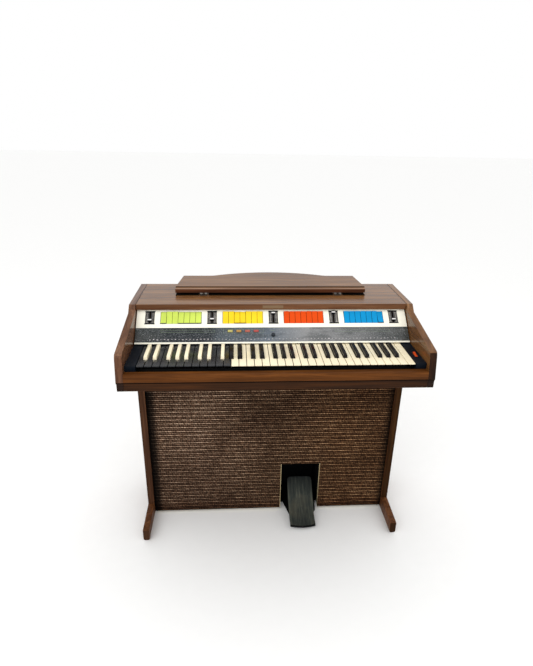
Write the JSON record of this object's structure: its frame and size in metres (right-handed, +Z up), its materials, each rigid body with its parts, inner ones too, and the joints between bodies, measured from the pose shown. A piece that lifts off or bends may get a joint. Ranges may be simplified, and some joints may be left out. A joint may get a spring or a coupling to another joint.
{
  "type": "electronic organ",
  "caption": "Single-manual electronic home organ: wooden console on two legs, slanted control panel with coloured tabs and sliders, folding music rest and swell pedal.",
  "frame": {"origin": "on the floor under the middle of the organ's bounding box", "axes": "+X to the player's right along the keyboard, +Y from the player to the back of the organ, +Z up"},
  "size_m": [0.958, 0.5394, 0.8852],
  "materials": {
    "walnut": "satin lacquer over veneer",
    "bare_board": "unfinished",
    "black_plastic": "gloss",
    "cream_plastic": "gloss",
    "cream_paint": "satin",
    "smoked_acrylic": "high gloss",
    "green_plastic": "satin",
    "yellow_plastic": "satin",
    "orange_plastic": "satin",
    "blue_plastic": "satin",
    "pink_plastic": "satin",
    "red_plastic": "satin",
    "grille_cloth": "woven",
    "steel": "brushed",
    "black_steel": "satin black",
    "rubber": "ribbed",
    "circuit_board": "matte"
  },
  "bodies": {
    "console": {"side_panel_left": "walnut", "side_panel_right": "walnut", "tray_side_left": "walnut", "tray_side_right": "walnut", "tray_board": "walnut", "top_board": "walnut", "rear_cover": "walnut", "front_rail": "walnut", "leg_left": "walnut", "leg_right": "walnut", "grille_board": "bare_board", "lower_rear_cover": "bare_board", "cheek_block_left": "black_plastic", "cheek_block_right": "black_plastic", "slider_panel": "black_plastic", "mains_inlet": "black_plastic", "control_fascia": "cream_paint", "panel_trim": "cream_paint", "glass_fascia": "smoked_acrylic", "grille_cloth": "grille_cloth", "key_chassis": "steel", "rest_hinge_base_left": "steel", "rest_hinge_base_right": "steel", "pedal_axle": "steel", "loudspeaker": "black_steel", "pedal_housing": "black_steel", "power_transformer": "black_steel", "rest_buffer_left": "rubber", "rest_buffer_right": "rubber", "main_circuit_board": "circuit_board"},
    "naturals_bass_keys": {"naturals_bass": "black_plastic"},
    "naturals_tenor_keys": {"naturals_tenor": "cream_plastic"},
    "naturals_treble_keys": {"naturals_treble": "cream_plastic"},
    "sharps_bass_keys": {"sharps_bass": "cream_plastic"},
    "sharps_tenor_keys": {"sharps_tenor": "black_plastic"},
    "sharps_treble_keys": {"sharps_treble": "black_plastic"},
    "tabs_green_raised_bank": {"tabs_green_raised": "green_plastic"},
    "tabs_yellow_raised_bank": {"tabs_yellow_raised": "yellow_plastic"},
    "tabs_blue_raised_bank": {"tabs_blue_raised": "blue_plastic"},
    "tabs_green_pressed_bank": {"tabs_green_pressed": "green_plastic"},
    "tabs_yellow_pressed_bank": {"tabs_yellow_pressed": "yellow_plastic"},
    "tabs_orange_bank": {"tabs_orange": "orange_plastic"},
    "tabs_blue_pressed_bank": {"tabs_blue_pressed": "blue_plastic"},
    "slider_1": {"slider_knob_1": "black_plastic"},
    "slider_2": {"slider_knob_2": "black_plastic"},
    "slider_3": {"slider_knob_3": "black_plastic"},
    "slider_4": {"slider_knob_4": "black_plastic"},
    "slider_5": {"slider_knob_5": "black_plastic"},
    "button_yellow": {"push_button_yellow": "yellow_plastic"},
    "button_orange": {"push_button_orange": "orange_plastic"},
    "button_pink": {"push_button_pink": "pink_plastic"},
    "button_red": {"push_button_red": "red_plastic"},
    "rotary_control": {"rotary_knob": "black_plastic"},
    "power_switch": {"power_rocker": "orange_plastic"},
    "music_rest": {"music_rest_board": "walnut", "music_rest_lip": "walnut", "rest_hinge_leaf_left": "steel", "rest_hinge_leaf_right": "steel"},
    "swell_pedal": {"pedal_tread": "black_steel", "pedal_rubber": "rubber"}
  },
  "joints": [
    {"name": "naturals_bass_press", "type": "hinge", "parent": "console", "child": "naturals_bass_keys", "pos_m": [0, -0.03368, 0.724], "axis": [1, 0, 0], "range_deg": [0, 2.8], "stiffness_Nm_per_rad": 8, "springref_deg": -16.04},
    {"name": "naturals_tenor_press", "type": "hinge", "parent": "console", "child": "naturals_tenor_keys", "pos_m": [0, -0.03368, 0.724], "axis": [1, 0, 0], "range_deg": [0, 2.8], "stiffness_Nm_per_rad": 8, "springref_deg": -16.04},
    {"name": "naturals_treble_press", "type": "hinge", "parent": "console", "child": "naturals_treble_keys", "pos_m": [0, -0.03368, 0.724], "axis": [1, 0, 0], "range_deg": [0, 2.8], "stiffness_Nm_per_rad": 8, "springref_deg": -16.04},
    {"name": "sharps_bass_press", "type": "hinge", "parent": "console", "child": "sharps_bass_keys", "pos_m": [0, -0.03368, 0.724], "axis": [1, 0, 0], "range_deg": [0, 2.8], "stiffness_Nm_per_rad": 4, "springref_deg": -16.04},
    {"name": "sharps_tenor_press", "type": "hinge", "parent": "console", "child": "sharps_tenor_keys", "pos_m": [0, -0.03368, 0.724], "axis": [1, 0, 0], "range_deg": [0, 2.8], "stiffness_Nm_per_rad": 4, "springref_deg": -16.04},
    {"name": "sharps_treble_press", "type": "hinge", "parent": "console", "child": "sharps_treble_keys", "pos_m": [0, -0.03368, 0.724], "axis": [1, 0, 0], "range_deg": [0, 2.8], "stiffness_Nm_per_rad": 4, "springref_deg": -16.04},
    {"name": "tabs_green_raised_rock", "type": "hinge", "parent": "console", "child": "tabs_green_raised_bank", "pos_m": [0, -0.0191, 0.80923], "axis": [1, 0, 0], "range_deg": [0, 10]},
    {"name": "tabs_yellow_raised_rock", "type": "hinge", "parent": "console", "child": "tabs_yellow_raised_bank", "pos_m": [0, -0.0191, 0.80923], "axis": [1, 0, 0], "range_deg": [0, 10]},
    {"name": "tabs_blue_raised_rock", "type": "hinge", "parent": "console", "child": "tabs_blue_raised_bank", "pos_m": [0, -0.0191, 0.80923], "axis": [1, 0, 0], "range_deg": [0, 10]},
    {"name": "tabs_green_pressed_rock", "type": "hinge", "parent": "console", "child": "tabs_green_pressed_bank", "pos_m": [0, -0.0191, 0.80923], "axis": [1, 0, 0], "range_deg": [-10, 0]},
    {"name": "tabs_yellow_pressed_rock", "type": "hinge", "parent": "console", "child": "tabs_yellow_pressed_bank", "pos_m": [0, -0.0191, 0.80923], "axis": [1, 0, 0], "range_deg": [-10, 0]},
    {"name": "tabs_orange_rock", "type": "hinge", "parent": "console", "child": "tabs_orange_bank", "pos_m": [0, -0.0191, 0.80923], "axis": [1, 0, 0], "range_deg": [-10, 0]},
    {"name": "tabs_blue_pressed_rock", "type": "hinge", "parent": "console", "child": "tabs_blue_pressed_bank", "pos_m": [0, -0.0191, 0.80923], "axis": [1, 0, 0], "range_deg": [-10, 0]},
    {"name": "slider_1_slide", "type": "slide", "parent": "console", "child": "slider_1", "axis": [0, 0.7526, 0.6585], "range_m": [-0.00899, 0.03041]},
    {"name": "slider_2_slide", "type": "slide", "parent": "console", "child": "slider_2", "axis": [0, 0.7526, 0.6585], "range_m": [-0.01174, 0.02766]},
    {"name": "slider_3_slide", "type": "slide", "parent": "console", "child": "slider_3", "axis": [0, 0.7526, 0.6585], "range_m": [-0.03429, 0.00511]},
    {"name": "slider_4_slide", "type": "slide", "parent": "console", "child": "slider_4", "axis": [0, 0.7526, 0.6585], "range_m": [-0.03571, 0.00369]},
    {"name": "slider_5_slide", "type": "slide", "parent": "console", "child": "slider_5", "axis": [0, 0.7526, 0.6585], "range_m": [-0.00848, 0.03092]},
    {"name": "button_yellow_press", "type": "slide", "parent": "console", "child": "button_yellow", "axis": [0, 0.6585, -0.7526], "range_m": [0, 0.0018], "stiffness_N_per_m": 400, "springref_m": -0.002},
    {"name": "button_orange_press", "type": "slide", "parent": "console", "child": "button_orange", "axis": [0, 0.6585, -0.7526], "range_m": [0, 0.0018], "stiffness_N_per_m": 400, "springref_m": -0.002},
    {"name": "button_pink_press", "type": "slide", "parent": "console", "child": "button_pink", "axis": [0, 0.6585, -0.7526], "range_m": [0, 0.0018], "stiffness_N_per_m": 400, "springref_m": -0.002},
    {"name": "button_red_press", "type": "slide", "parent": "console", "child": "button_red", "axis": [0, 0.6585, -0.7526], "range_m": [0, 0.0018], "stiffness_N_per_m": 400, "springref_m": -0.002},
    {"name": "rotary_knob_turn", "type": "hinge", "parent": "console", "child": "rotary_control", "pos_m": [-0.003, -0.06843, 0.76447], "axis": [0, -0.6585, 0.7526], "range_deg": [-135, 135]},
    {"name": "power_rocker_rock", "type": "hinge", "parent": "console", "child": "power_switch", "pos_m": [0.442, -0.17968, 0.741], "axis": [1, 0, 0], "range_deg": [-12, 0]},
    {"name": "music_rest_fold", "type": "hinge", "parent": "console", "child": "music_rest", "pos_m": [0, 0.10132, 0.8545], "axis": [1, 0, 0], "range_deg": [0, 75]},
    {"name": "pedal_tilt", "type": "hinge", "parent": "console", "child": "swell_pedal", "pos_m": [0.121, -0.03768, 0.036], "axis": [-1, 0, 0], "range_deg": [0, 20]}
  ]
}
